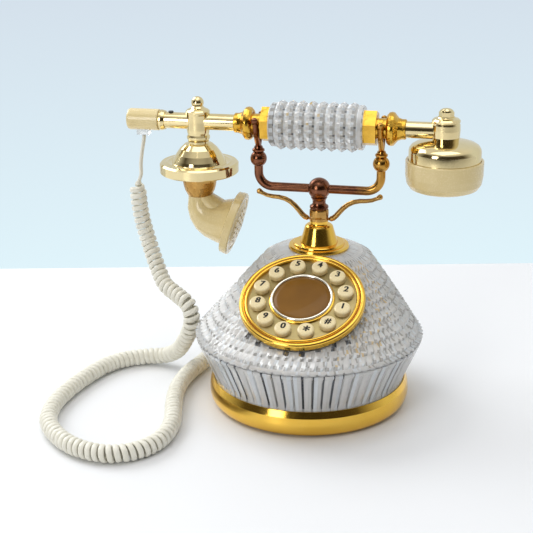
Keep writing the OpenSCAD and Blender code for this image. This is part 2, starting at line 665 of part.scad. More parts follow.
// The two knobs that close the tees: a turned finial and a hexagonal nut with a domed top
module tee_finials() color("#dccb8d") on_handset() {
    translate([-transmitter_x, 0, 8]) lathe(concat([[0, 0], [8.9, 0], [8, 1], [5.2, 2.4], [4, 3.8]],
        arc(0, 6.2, 4.7, -28, 90, 8)));
    translate([receiver_x, 0, tee_top]) {
        cylinder(r = 5.5, h = 3.6, $fn = 6);
        translate([0, 0, 3.5]) lathe([[0, 0], [5.1, 0], [4.6, 1.2], [3, 2.2], [0, 2.7]]);
    }
}

// Dome and disc of the transmitter, one hollow spinning
module transmitter_bell() color("#dccb8d") on_handset() translate([-transmitter_x, 0, bell_low - hand_z])
    lathe([[7.9, bell_h], [8, bell_h - 1.6], [10.6, 22], [14, 18.9], [17, 14.7], [19.3, 10.6], [20.3, 8.4],
        [21, 8], [23.6, 8.6], [25.6, 8.2], [disc_r - 1.2, 8.2], [disc_r, 7], [disc_r, 0.8], [disc_r - 0.8, 0],
        [13.2, 0], [13.2, 1.8], [disc_r - 2.4, 1.8], [disc_r - 2.4, 5.8], [18.6, 6.4], [15.4, 13],
        [12.4, 17.4], [9.2, 20.2], [3.2, 21], [3.2, bell_h]]);

module horn_cup() color("#a9762c") on_handset() translate([-transmitter_x, 0, horn_z - hand_z]) lathe(
    [[8.7, 0], [9.3, 0.3], [10.1, 1.8], [11.4, 4.4], [12.3, 7.6], [12.9, 11.6], [12.9, cup_h + 0.9],
    [11.4, cup_h + 0.9], [11.2, 9], [10, cup_lip], [8.4, cup_lip]]);

// The horn's sections: place, tilt and radius, along its bend from the cup to the mouthpiece
horn_line = [
    [[-transmitter_x, horn_z + 3.4], 0, 7.8],
    [[-transmitter_x + 0.1, horn_z - 6.5], 12, 9.2],
    [[-transmitter_x + 4.6, horn_z - 15.5], 48, 12.6],
    [[mouth_c[0], mouth_c[1]], 90 - mouth_tilt, 18]];

module horn_disc(i, shrink) translate([horn_line[i][0][0], 0, horn_line[i][0][1] - hand_z])
    rotate([0, 180 - horn_line[i][1], 0]) translate([0, 0, -0.5])
    cylinder(r = horn_line[i][2] - shrink, h = 1, $fn = 32);

module horn_body(shrink) for (i = [0 : 2]) hull() {
    horn_disc(i, shrink);
    horn_disc(i + 1, shrink);
}

module on_mouth() on_handset() translate([mouth_c[0], 0, mouth_c[1] - hand_z]) rotate([0, 90 + mouth_tilt, 0])
    children();

module mouthpiece_horn() color("#ead59c") difference() {
    union() {
        on_handset() horn_body(0);
        on_handset() translate([-transmitter_x, 0, horn_z - hand_z]) {
            translate([0, 0, 3]) cylinder(r = 7.8, h = cup_lip);
            translate([0, 0, cup_lip]) cylinder(r = 9.2, h = 2);
        }
        on_mouth() lathe([[0, 0], [mouth_r - 1.4, 0], [mouth_r - 0.4, 0.6], [mouth_r - 0.4, mouth_t],
            [0, mouth_t]]);
    }
    on_handset() horn_body(2);
    on_mouth() translate([0, 0, 0.4]) cylinder(r = 15, h = 10);
    on_handset() translate([-transmitter_x, 0, horn_z - hand_z]) cylinder(r = 5.8, h = 10);
}

module mouthpiece_grille() color("#ead59c") on_mouth() translate([0, 0, mouth_t]) difference() {
    lathe([[0, 0.4], [14.6, 0.4], [14.6, 0], [mouth_r, 0], [mouth_r, 2.6], [mouth_r - 0.8, 3.4],
        [mouth_r - 3.8, 3.4], [mouth_r - 4.4, 2.6], [15, 4.6], [8, 5.8], [0, 6.2]]);
    cylinder(r = 1.1, h = 20, $fn = 32);
    for (ring = [1 : 3], k = [1 : 6 * ring]) rotate(60 * k / ring) translate([4.6 * ring, 0, -1])
        cylinder(r = 1.1, h = 20, $fn = 32);
}

module microphone() color("#4a4a48") on_mouth() translate([0, 0, -3.6]) cylinder(r = 5, h = 6.6);

module receiver_tee() color("#dccb8d") on_handset() translate([receiver_x, 0, 0]) difference() {
    lathe([[0, -9.6], [8.7, -9.6], [9.4, -8], [10.1, -4], [10.4, 1], [10.2, 5], [9.6, 6.4], [10.2, 6.8],
        [10.2, 8], [9, 9.2], [6.6, 9.8], [6, tee_top], [0, tee_top]]);
    translate([-30, 0, 0]) rotate([0, 90, 0]) cylinder(r = tube_r + slip, h = 35.4);
    translate([0, 0, -30]) cylinder(r = 3, h = 27, $fn = 32);
}

module receiver_dome() color("#dccb8d") on_handset() translate([receiver_x, 0, ear_low - hand_z]) lathe([
    [3.4, 33.4], [8.8, 33.4], [13.4, 32.6], [19, 31.2], [22.8, 29.4], [25, 27], [ear_r - 2.1, 24],
    [ear_r - 2.1, 12], [ear_r - 3.7, 12], [ear_r - 3.7, 24], [23.4, 26], [21.6, 27.8], [18.4, 29.6],
    [13, 31], [3.4, 31.8]]);

module ear_cap() color("#ead59c") on_handset() translate([receiver_x, 0, ear_low - hand_z]) difference() {
    lathe([[0, 1.6], [6, 1.2], [19, 0.1], [21.6, 0], [24.8, 1.4], [27.2, 5], [ear_r - 0.1, 11],
        [ear_r, ear_h - 0.6], [ear_r - 0.5, ear_h], [ear_r - 1.7, ear_h], [ear_r - 2, ear_h - 0.6],
        [ear_r - 2, 11.9], [23.6, 11.9],
        [23.6, 3.6], [0, 3.6]]);
    translate([0, 0, -1]) cylinder(r = 1.2, h = 10, $fn = 32);
    for (k = [1 : 6]) rotate(60 * k) translate([5, 0, -1]) cylinder(r = 1.2, h = 10, $fn = 32);
}

module speaker() color("#4a4a48") on_handset() translate([receiver_x, 0, ear_low - hand_z + 3.6])
    lathe([[0, 0], [22.8, 0], [22.8, 2.4], [16, 5.2], [9.5, 5.2], [9.5, 8.6], [0, 8.6]]);

// ---- Cord ----

module cord_handset_lead() color("#ded5bd") swept(lead_top, [for (p = lead_top) lead_r], 8);

module cord_curl() color("#ded5bd") swept(curl_route, [for (p = curl_route) curl_r], 10);

module cord_base_lead() color("#ded5bd") swept(lead_low, [for (p = lead_low) lead_r], 8);

module base_plug() color("#d9dee0", 0.7) rotate(cord_angle)
    translate([jack_in + 3, -plug_size[0] / 2, jack_z - plug_size[1] / 2])
    cube([jack_end - jack_in - 3, plug_size[0], plug_size[1]]);

seated() rubber_feet();
seated() base_plate();
seated() base_screws();
seated() base_ring();
seated() glass_skirt();
seated() glass_dome();
seated() dial_housing();
seated() dial_bezel();
seated() dial_plate();
seated() dial_centre_ring();
seated() dial_card();
seated() keypad_membrane();
seated() keypad_board();
seated() main_board();
seated() rear_jacks();
seated() column_flange();
seated() column_nut();
seated() column_bell();
seated() column_collar();
seated() scroll_arms();
seated() hook_spring();
seated() hook_switch();
seated() button(0);  // button_1
seated() button(1);  // button_2
seated() button(2);  // button_3
seated() button(3);  // button_4
seated() button(4);  // button_5
seated() button(5);  // button_6
seated() button(6);  // button_7
seated() button(7);  // button_8
seated() button(8);  // button_9
seated() button(9);  // button_0
seated() button(10);  // button_star
seated() button(11);  // button_hash
seated() hook_rod();
seated() cradle_ball();
seated() cradle_yoke();
seated() cradle_forks();
seated() handset_tube();
seated() glass_grip();
seated() spools();
seated() cord_cap();
seated() cap_ring();
seated() set_screw();
seated() handset_plug();
seated() transmitter_tee();
seated() tee_finials();
seated() transmitter_bell();
seated() horn_cup();
seated() mouthpiece_horn();
seated() mouthpiece_grille();
seated() microphone();
seated() receiver_tee();
seated() receiver_dome();
seated() ear_cap();
seated() speaker();
seated() cord_handset_lead();
seated() cord_curl();
seated() cord_base_lead();
seated() base_plug();
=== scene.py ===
"""A glass and gilt push-button telephone: the looks of every piece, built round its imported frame."""

import math

import bpy
import numpy as np
from mathutils import Matrix, Vector


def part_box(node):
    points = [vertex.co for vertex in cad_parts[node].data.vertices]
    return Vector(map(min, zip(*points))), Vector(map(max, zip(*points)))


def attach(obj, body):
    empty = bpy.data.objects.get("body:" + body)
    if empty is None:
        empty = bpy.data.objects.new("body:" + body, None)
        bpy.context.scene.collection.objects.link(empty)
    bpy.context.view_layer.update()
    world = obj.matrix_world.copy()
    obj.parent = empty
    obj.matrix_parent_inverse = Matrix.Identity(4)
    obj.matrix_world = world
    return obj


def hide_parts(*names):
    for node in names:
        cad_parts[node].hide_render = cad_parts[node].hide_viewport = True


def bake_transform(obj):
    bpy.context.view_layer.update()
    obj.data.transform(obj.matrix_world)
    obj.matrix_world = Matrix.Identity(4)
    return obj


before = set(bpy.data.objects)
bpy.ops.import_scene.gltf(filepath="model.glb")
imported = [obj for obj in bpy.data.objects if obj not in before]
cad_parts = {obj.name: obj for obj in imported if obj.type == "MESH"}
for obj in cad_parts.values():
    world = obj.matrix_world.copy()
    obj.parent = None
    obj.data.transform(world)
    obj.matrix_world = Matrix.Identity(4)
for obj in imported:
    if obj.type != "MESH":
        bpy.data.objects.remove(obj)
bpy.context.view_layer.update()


# ---------------------------------------------------------------- Standpoint
# A long lens a little above the handset, to the right of the dial's own axis. It is aimed from the
# middle of the base, so it follows the telephone if the base moves.
def middle(node):
    low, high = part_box(node)
    return (low + high) / 2


base_x = middle("base_ring").x
column_y = middle("column_bell").y
azimuth, elevation, roll = math.radians(12.68), math.radians(19.58), math.radians(-0.61)
backward = Vector((
    math.sin(azimuth) * math.cos(elevation), -math.cos(azimuth) * math.cos(elevation), math.sin(elevation)))
level = Vector((math.cos(azimuth), math.sin(azimuth), 0))
upward = backward.cross(level)
across = level * math.cos(roll) + upward * math.sin(roll)
aloft = upward * math.cos(roll) - level * math.sin(roll)
camera = bpy.data.objects.new("camera", bpy.data.cameras.new("camera"))
bpy.context.scene.collection.objects.link(camera)
bpy.context.scene.camera = camera
camera.data.lens = 82.4
camera.data.sensor_width = 36
camera.data.clip_start, camera.data.clip_end = 0.05, 20
standpoint = Vector((base_x, 0, 0.1026)) - level * 0.03085 + backward * 0.88658
camera.matrix_world = Matrix.Translation(standpoint) @ Matrix((across, aloft, backward)).transposed().to_4x4()


# ---------------------------------------------------------------- Curly cord
# One flat vinyl lead from the plug under the handset to the plug in the base. Its middle is wound
# into a springy curl 13 mm across, and both ends are straight.
class Paint:
    """A socket in a material's nodes. Arithmetic on it adds Math nodes, and add() any other node."""

    def __init__(self, tree, socket=None):
        self.tree = tree
        self.socket = socket

    def add(self, kind, settings=None, output=0, **values):
        made = self.tree.nodes.new(kind)
        for name, value in (settings or {}).items():
            if name == "stops":
                ramp = made.color_ramp
                while len(ramp.elements) < len(value):
                    ramp.elements.new(0.5)
                for stop, (place, colour) in zip(ramp.elements, value):
                    stop.position = place
                    stop.color = (*colour, 1)
            else:
                setattr(made, name, value)
        for name, value in values.items():
            socket = made.inputs[int(name[1:])] if name[1:].isdigit() else made.inputs[name.replace("_", " ")]
            self.feed(socket, value)
        return Paint(self.tree, made.outputs[output])

    def feed(self, socket, value):
        if isinstance(value, Paint):
            self.tree.links.new(value.socket, socket)
        else:
            socket.default_value = value

    def maths(self, operation, first, second=0.0):
        return self.add("ShaderNodeMath", {"operation": operation}, i0=first, i1=second)

    def __add__(self, other):
        return self.maths("ADD", self, other)

    def __sub__(self, other):
        return self.maths("SUBTRACT", self, other)

    def __rsub__(self, other):
        return self.maths("SUBTRACT", other, self)

    def __mul__(self, other):
        return self.maths("MULTIPLY", self, other)

    __radd__ = __add__
    __rmul__ = __mul__

    def mix(self, first, second):
        """A colour between two others, by this value."""
        settings = {"data_type": "RGBA"}
        return self.add("ShaderNodeMix", settings, 2, i0=self, i6=first, i7=second)


def painted(name, colour, roughness, **shader_values):
    """A new material with one shader. Returns the material, its shader and a Paint to start from."""
    material = bpy.data.materials.new(name)
    material.use_nodes = True
    shader = material.node_tree.nodes["Principled BSDF"]
    shader.inputs["Base Color"].default_value = (*colour, 1)
    shader.inputs["Roughness"].default_value = roughness
    for socket, value in shader_values.items():
        shader.inputs[socket.replace("_", " ")].default_value = value
    material.diffuse_color = (*colour, 1)
    return material, shader, Paint(material.node_tree)


def place(paint):
    """The point of the surface, in metres."""
    return paint.add("ShaderNodeTexCoord", output=3)


def grain(paint, scale, detail=2.0, roughness=0.5):
    """Soft noise, scale spots to the metre."""
    return paint.add("ShaderNodeTexNoise", Vector=place(paint), Scale=scale, Detail=detail, Roughness=roughness)


def raise_by(paint, shader, height, strength, distance):
    """Bumps the surface by a height."""
    bump = paint.add("ShaderNodeBump", Height=height, Strength=strength, Distance=distance)
    paint.feed(shader.inputs["Normal"], bump)


def piece(name, points, faces, material, smooth=True):
    """A new mesh object, in metres, in the telephone's own frame."""
    mesh = bpy.data.meshes.new(name)
    mesh.from_pydata([tuple(p) for p in points], [], [tuple(f) for f in faces])
    mesh.validate()
    mesh.update()
    mesh.materials.append(material)
    mesh.polygons.foreach_set("use_smooth", [smooth] * len(mesh.polygons))
    made = bpy.data.objects.new(name, mesh)
    bpy.context.scene.collection.objects.link(made)
    return made


def rounded_route(points, step):
    """Points a step apart along a smooth curve through the given ones."""
    p = np.array(points, float)
    p = np.vstack([2 * p[0] - p[1], p, 2 * p[-1] - p[-2]])
    t = np.linspace(0, 1, 24, endpoint=False)[:, None]
    pieces = []
    for a, b, c, d in zip(p[:-3], p[1:-2], p[2:-1], p[3:]):
        square, cube = 2 * a - 5 * b + 4 * c - d, 3 * b - a - 3 * c + d
        pieces.append(0.5 * (2 * b + (c - a) * t + square * t**2 + cube * t**3))
    line = np.vstack([*pieces, p[-2:-1]])
    along = np.concatenate([[0], np.cumsum(np.linalg.norm(np.diff(line, axis=0), axis=1))])
    at = np.linspace(0, along[-1], int(along[-1] / step) + 1)
    return np.stack([np.interp(at, along, line[:, k]) for k in range(3)], axis=1), at


handset_lead = [(-134.8, 41, 185.3), (-135.2, 41, 181), (-137, 41, 172), (-138.4, 41, 162), (-138.6, 41, 154)]
curl = [
    (-140.6, 41, 148), (-141.6, 41, 140), (-139.6, 41, 120), (-134.4, 40, 100), (-125, 31, 81.5),
    (-117, 23, 71.5), (-106, 16, 67), (-95, 8.5, 62), (-91.6, 6, 52), (-94, 8, 42), (-99.6, 14, 31),
    (-109, 24, 17), (-121, 30, 9), (-136, 30, 6.6), (-151, 22, 6.6), (-163, 7, 6.6), (-171, -16, 6.6),
    (-176, -42, 6.6), (-177, -68, 6.6), (-171, -93, 6.6), (-156, -113, 6.6), (-136, -127, 6.6),
    (-113, -131, 6.6), (-95, -122, 6.6), (-84.5, -103, 6.6), (-84, -78, 6.6), (-91, -50, 6.6),
    (-96, -24, 6.6), (-96, 2, 6.6), (-91, 26, 6.6), (-87, 44, 6.6),
]
base_lead = [(-84.5, 55, 6.2), (-80.5, 66, 5.6), (-74, 75, 5.8), (-66, 79, 7.2), (-56, 71.7, 9.2),
             (-49.9, 63.9, 9.25), (-46.2, 59.1, 9.25)]
wire_width, wire_thickness, curl_radius = 0.0042, 0.0026, 0.0065
pitch_hanging, pitch_lying = 0.0048, 0.0047
step = 0.0003
route, along = rounded_route(np.array(handset_lead + curl + base_lead) * 0.001 + (base_x, 0, 0), step)
starts = along[np.linalg.norm(route - (np.array(curl[0]) * 0.001 + (base_x, 0, 0)), axis=1).argmin()]
stops = along[np.linalg.norm(route - (np.array(curl[-1]) * 0.001 + (base_x, 0, 0)), axis=1).argmin()]
heading = np.gradient(route, axis=0)
heading /= np.linalg.norm(heading, axis=1)[:, None]
side = np.zeros_like(route)
side[0] = np.cross(heading[0], (0, 1, 0))
for i in range(1, len(route)):
    side[i] = side[i - 1] - heading[i] * (side[i - 1] @ heading[i])
    side[i] /= np.linalg.norm(side[i])
other_side = np.cross(heading, side)
wound = (along > starts) & (along < stops)
pitch = np.interp(route[:, 2], [0.01, 0.07], [pitch_lying, pitch_hanging])
turned = np.cumsum(np.where(wound, 2 * math.pi * step / pitch, 0))
ramp = np.clip(np.minimum(along - starts, stops - along) / 0.007, 0, 1)
swing = (ramp * ramp * (3 - 2 * ramp))[:, None] * (curl_radius - wire_thickness / 2)
outward = np.cos(turned)[:, None] * side + np.sin(turned)[:, None] * other_side
wire = route + swing * outward
wire_heading = np.gradient(wire, axis=0)
wire_heading /= np.linalg.norm(wire_heading, axis=1)[:, None]
thick_way = outward - wire_heading * (outward * wire_heading).sum(1)[:, None]
thick_way /= np.linalg.norm(thick_way, axis=1)[:, None]
wide_way = np.cross(wire_heading, thick_way)
around = np.linspace(0, 2 * math.pi, 10, endpoint=False)
straight_rings = np.nonzero(~wound)[0][::4]
curl_rings = np.nonzero(np.diff(turned // (2 * math.pi / 14), prepend=-1))[0]
keep = np.unique(np.concatenate([straight_rings, curl_rings, [len(wire) - 1]]))
rings = [
    wire[i] + np.outer(np.sign(np.cos(around)) * abs(np.cos(around)) ** 0.8 * wire_width / 2, wide_way[i])
    + np.outer(np.sin(around) * wire_thickness / 2, thick_way[i])
    for i in keep
]
sides = len(around)
walls = [
    (i * sides + k, i * sides + (k + 1) % sides, (i + 1) * sides + (k + 1) % sides, (i + 1) * sides + k)
    for i in range(len(keep) - 1) for k in range(sides)
]
ends = [tuple(range(sides))[::-1], tuple(range((len(keep) - 1) * sides, len(keep) * sides))]
cord_vinyl, shader, paint = painted("cord_vinyl", (0.74, 0.71, 0.60), 0.42, Coat_Weight=0.15, Coat_Roughness=0.3)
soiling = grain(paint, 90, 3)
paint.feed(shader.inputs["Base Color"], soiling.mix((0.90, 0.88, 0.79, 1), (0.78, 0.755, 0.64, 1)))
paint.feed(shader.inputs["Roughness"], grain(paint, 700) * 0.2 + 0.32)
raise_by(paint, shader, grain(paint, 2600, 3), 0.15, 0.0003)
cord = piece("cord", np.vstack(rings), walls + ends, cord_vinyl)
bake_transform(cord)
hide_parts("cord_handset_lead", "cord_curl", "cord_base_lead")


# ---------------------------------------------------------------- Modular plugs
# Clear polycarbonate plugs at both ends of the cord, moulded, latched in the cap and in the base.
def dress(material, *nodes):
    """Gives CAD nodes a finish, with their round faces shaded smooth."""
    for node in nodes:
        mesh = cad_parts[node].data
        mesh.materials.clear()
        mesh.materials.append(material)
        mesh.polygons.foreach_set("material_index", [0] * len(mesh.polygons))
        mesh.shade_smooth()
        mesh.set_sharp_from_angle(angle=math.radians(32))


clear_plastic, shader, paint = painted("clear_plastic", (0.93, 0.95, 0.95), 0.08, Transmission_Weight=0.9, IOR=1.5)
paint.feed(shader.inputs["Roughness"], grain(paint, 500) * 0.12 + 0.03)
dress(clear_plastic, "handset_plug", "base_plug")

# ---------------------------------------------------------------- Base
# A spun brass ring, gilt: polished on its sloping top, satin on the roll below. It stands on four
# pale rubber feet under a black steel plate that four screws hold.
gilt, shader, paint = painted("gilt", (0.90, 0.56, 0.09), 0.14, Metallic=1.0)
cloud = grain(paint, 35, 3)
paint.feed(shader.inputs["Base Color"], cloud.mix((0.96, 0.63, 0.12, 1), (0.80, 0.46, 0.06, 1)))
paint.feed(shader.inputs["Roughness"], grain(paint, 240, 4) * 0.14 + 0.07)
raise_by(paint, shader, grain(paint, 1300, 3), 0.05, 0.0002)
dress(gilt, "base_ring", "column_flange", "column_bell")

pale_rubber, shader, paint = painted("pale_rubber", (0.62, 0.57, 0.46), 0.75)
raise_by(paint, shader, grain(paint, 2200, 3), 0.25, 0.0003)
paint.feed(shader.inputs["Base Color"], grain(paint, 120).mix((0.66, 0.61, 0.50, 1), (0.50, 0.46, 0.37, 1)))
dress(pale_rubber, "rubber_feet", "keypad_membrane")

black_paint, shader, paint = painted("black_paint", (0.03, 0.03, 0.032), 0.4)
raise_by(paint, shader, grain(paint, 1500, 2), 0.12, 0.0003)
paint.feed(shader.inputs["Roughness"], grain(paint, 90) * 0.25 + 0.3)
dress(black_paint, "base_plate", "set_screw")

zinc, shader, paint = painted("zinc_plate", (0.62, 0.62, 0.60), 0.3, Metallic=1.0)
paint.feed(shader.inputs["Roughness"], grain(paint, 600, 4) * 0.3 + 0.18)
dress(zinc, "base_screws", "column_nut", "hook_rod", "hook_spring")

black_plastic, shader, paint = painted("black_plastic", (0.035, 0.035, 0.035), 0.45)
raise_by(paint, shader, grain(paint, 3000, 2), 0.1, 0.0002)
paint.feed(shader.inputs["Roughness"], grain(paint, 300) * 0.2 + 0.35)
dress(black_plastic, "rear_jacks", "hook_switch", "microphone", "speaker")

board_lacquer, shader, paint = painted("board_lacquer", (0.04, 0.16, 0.07), 0.3)
tracks = paint.add("ShaderNodeTexVoronoi", {"feature": "DISTANCE_TO_EDGE"}, Vector=place(paint), Scale=160.0)
lines = paint.add("ShaderNodeValToRGB", {"stops": [(0.0, (1, 1, 1)), (0.12, (0, 0, 0))]}, Fac=tracks)
paint.feed(shader.inputs["Base Color"], lines.mix((0.05, 0.17, 0.08, 1), (0.10, 0.30, 0.14, 1)))
dress(board_lacquer, "main_board", "keypad_board")

# ---------------------------------------------------------------- Glass body
# Two heavy pressings of clear glass: a skirt cut with tall V flutes, and a leaning dome whose
# scalloped rim overhangs it and whose face is a net of small pyramids in rows up to the crown.
def glass(name, colour, clearness):
    """Pressed glass of one colour. The less clear it is, the more it scatters, as cut facets do."""
    material, shader, paint = painted(name, colour, 0.05, Transmission_Weight=clearness, IOR=1.42, Coat_Weight=0.7)
    darker = tuple(c * 0.88 for c in colour)
    paint.feed(shader.inputs["Base Color"], grain(paint, 260, 3).mix((*colour, 1), (*darker, 1)))
    paint.feed(shader.inputs["Roughness"], grain(paint, 200, 3) * 0.08 - 0.01)
    raise_by(paint, shader, grain(paint, 700, 2), 0.1, 0.0003)
    return material


pressed_glass = glass("pressed_glass", (1.0, 0.995, 0.985), 0.5)
# The tints after the first are painted light: grey and near-black facets are painted shade and dark refraction, and
# blue and gold facets are painted reflections of the wall and the gilt.
painted_light_tints = [
    pressed_glass, glass("glass_painted_sky_reflection", (0.90, 0.95, 1.0), 0.4), glass("glass_painted_shade", (0.62, 0.61, 0.58), 0.5),
    glass("glass_painted_dark_refraction", (0.10, 0.11, 0.13), 0.4), glass("glass_painted_gold_reflection", (0.84, 0.64, 0.34), 0.4),
]


def paint_facet_light(made, choose):
    """Gives each face of a glass mesh one of the painted light tints, by the face's middle and its number."""
    for material in painted_light_tints[1:]:
        made.data.materials.append(material)
    for face in made.data.polygons:
        face.material_index = choose(face.center, face.index)


def scatter(number):
    """A fixed pseudo-random value from 0 to 1 for a whole number."""
    return math.sin(number * 12.9898 + 4.1) * 43758.5453 % 1


dome_low, dome_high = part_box("glass_dome")
glass_wall = 0.004
rim_r = (dome_high.x - dome_low.x) / 2
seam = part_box("glass_skirt")[1].z
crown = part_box("column_bell")[0].z - 0.0044
flute_count, rib_count, tier_count = 72, 84, 11


def closed_shell(outer, inner, columns):
    """Faces of a closed ring-like shell from rows of points: up the outside, over, down the inside."""
    rows = len(outer) + len(inner)
    points = np.vstack([*outer, *inner])
    faces = []
    for r in range(rows):
        s = (r + 1) % rows
        for k in range(columns):
            n = (k + 1) % columns
            faces.append((r * columns + k, r * columns + n, s * columns + n, s * columns + k))
    return points, faces


def circle(radius, y, z, columns, shift=0.0):
    """A ring of points; radius and shift, in columns, are one number or one for each column."""
    angle = (np.arange(columns) + shift) * 2 * math.pi / columns
    radius = np.broadcast_to(radius, columns)
    return np.stack([base_x + radius * np.cos(angle), y + radius * np.sin(angle), np.full(columns, z)], axis=1)


columns = flute_count * 4
in_flute = np.arange(columns) % 4
groove = np.select([in_flute == 0, in_flute == 2], [0.0, 1.0], 0.35)
skirt_foot_r = rim_r - 0.0134
skirt_rows = [
    (seam - 0.0350, skirt_foot_r, 0.0), (seam - 0.0312, skirt_foot_r, 0.0),
    (seam - 0.0300, skirt_foot_r + 0.0003, 0.0008),
    (seam - 0.0270, skirt_foot_r + 0.0015, 0.0021), (seam - 0.0160, skirt_foot_r + 0.0063, 0.0022),
    (seam - 0.0070, skirt_foot_r + 0.0103, 0.0022), (seam - 0.0040, skirt_foot_r + 0.0116, 0.0016),
    (seam - 0.0022, skirt_foot_r + 0.0124, 0.0004), (seam - 0.0006, skirt_foot_r + 0.0128, 0.0),
    (seam, skirt_foot_r + 0.0124, 0.0),
]
narrowed = np.select([in_flute == 1, in_flute == 3], [0.5, -0.5], 0.0)
outer = [circle(r - depth * groove, 0, z, columns, narrowed) for z, r, depth in skirt_rows]
inner = [
    circle(rim_r - glass_wall - 0.0008, 0, seam, columns),
    circle(rim_r - glass_wall - 0.002, 0, seam - 0.004, columns),
    circle(skirt_foot_r - glass_wall + 0.0003, 0, seam - 0.030, columns),
    circle(skirt_foot_r - glass_wall, 0, seam - 0.035, columns),
]
glass_skirt = piece("skirt_glass", *closed_shell(outer, inner, columns), pressed_glass, smooth=False)


def skirt_painted_light(centre, number):
    """Painted light on the flutes: one slope bright and one painted greyer, with painted dark refraction and blue
    reflection streaks down their grooves.
    """
    column, row = number % columns, number // columns
    value = scatter(column)
    if column % 4 in (1, 2):
        return 3 if value < 0.22 and row > 1 else 2 if value < 0.5 else 1 if value < 0.7 else 0
    return 1 if value < 0.25 else 2 if value > 0.93 else 0


paint_facet_light(glass_skirt, skirt_painted_light)
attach(glass_skirt, "telephone")
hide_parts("glass_skirt")

bezel_axis = Vector((0, -math.sin(math.radians(26)), math.cos(math.radians(26))))
dial_low, dial_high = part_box("dial_plate")
dial_middle = (dial_low + dial_high) / 2 + bezel_axis * 0.0008
dial_turn = Matrix.Rotation(math.radians(26), 4, "X")
dial_place = Matrix.Translation(dial_middle) @ dial_turn


def cutter(radius, low, high, where):
    """A plain drum for cutting a hole, which isn't kept."""
    points, faces = [], []
    count = 96
    for z in (low, high):
        for k in range(count):
            angle = 2 * math.pi * k / count
            points.append(where @ Vector((radius * math.cos(angle), radius * math.sin(angle), z)))
    faces = [(k, (k + 1) % count, count + (k + 1) % count, count + k) for k in range(count)]
    faces += [tuple(range(count))[::-1], tuple(range(count, 2 * count))]
    return piece("cutter", points, faces, pressed_glass)


def carve(target, tools, operation="DIFFERENCE"):
    """Cuts or joins the tools into the target and removes them."""
    for tool in tools:
        change = target.modifiers.new("carve", "BOOLEAN")
        change.operation, change.solver, change.object = operation, "EXACT", tool
        evaluated = target.evaluated_get(bpy.context.evaluated_depsgraph_get())
        mesh = bpy.data.meshes.new_from_object(evaluated)
        target.modifiers.clear()
        target.data = mesh
        bpy.data.objects.remove(tool)


dome_foot_r, crown_r, lean = rim_r - 0.0010, 0.0360, column_y
dome_z = seam + 0.002


def dome_ring(z, inset, columns):
    """The dome's circle at a height: its radius shrinks and its centre leans back as it climbs."""
    up = (z - dome_z) / (crown - dome_z)
    radius = dome_foot_r + (crown_r - dome_foot_r) * up + 0.004 * up * (1 - up)
    return circle(radius - inset, lean * up, z, columns)


columns = rib_count * 4
in_rib = np.arange(columns) % 4
ridge = np.select([in_rib == 0, in_rib == 2], [1.0, 0.0], 0.5)
shifted = np.roll(ridge, 2)
lip_rows = [(seam, -0.0016, 0.0006), (seam + 0.0007, -0.0002, 0.0012), (seam + 0.0018, 0.0, 0.0016)]
outer = [circle(rim_r + r - depth * (1 - ridge), 0, z, columns) for z, r, depth in lip_rows]
lowest_tier, highest_tier = seam + 0.0026, crown - 0.0030
for tier in range(tier_count):
    low = lowest_tier + (highest_tier - lowest_tier) * tier / tier_count
    high = lowest_tier + (highest_tier - lowest_tier) * (tier + 1) / tier_count
    face = ridge if tier % 2 == 0 else shifted
    outer.append(dome_ring(low, 0.0022, columns))
    outer.append(dome_ring(low + 0.42 * (high - low), 0.0024 - 0.0024 * face, columns))
    outer.append(dome_ring(low + 0.60 * (high - low), 0.0024 - 0.0024 * face, columns))
for z, inset in ((crown - 0.0030, 0.0024), (crown - 0.0018, 0.0036), (crown - 0.0008, 0.0066), (crown, 0.0126)):
    face = 0.0008 * (ridge - 1) if z < crown else 0.0
    outer.append(dome_ring(z, inset - face, columns))
hole_r = 0.0086
outer.append(circle(hole_r, column_y, crown, columns))
inner = [circle(hole_r, column_y, crown - glass_wall, columns), dome_ring(crown - glass_wall, 0.007, columns)]
inner += [dome_ring(dome_z, 0.006, columns), circle(rim_r - glass_wall - 0.003, 0, seam, columns)]
dome = piece("dome_glass", *closed_shell(outer, inner, columns), pressed_glass, smooth=False)


def dome_painted_light(centre, number):
    """Painted light on each stud: bright above and painted greyer below, more so to the right, with painted dark
    glints under the bezel and painted gold reflections near the dial on the right.
    """
    value = scatter(number)
    column, row = number % columns % 4, (number // columns - 3) % 3
    from_dial = (dial_place.inverted() @ centre).xy.length
    if from_dial < 0.0478 and centre.y < -0.048:
        return 3 if number % 8 < 3 else 0
    if centre.x > base_x + 0.03 and from_dial < 0.062 and value < 0.12:
        return 4
    right = 0.16 if centre.x > base_x + 0.02 else 0.0
    if row == 0:
        return 2 if column in (1, 2) and value < 0.8 else 1 if value < 0.3 + right else 0
    if row == 1:
        return 2 if column == 1 and value < 0.25 + right else 0
    return 1 if value < 0.2 else 2 if value > 0.97 - right else 0


paint_facet_light(dome, dome_painted_light)
carve(dome, [cutter(0.0455, -0.004, 0.06, dial_place), cutter(0.0431, -0.06, 0.06, dial_place)])
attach(dome, "telephone")
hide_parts("glass_dome")
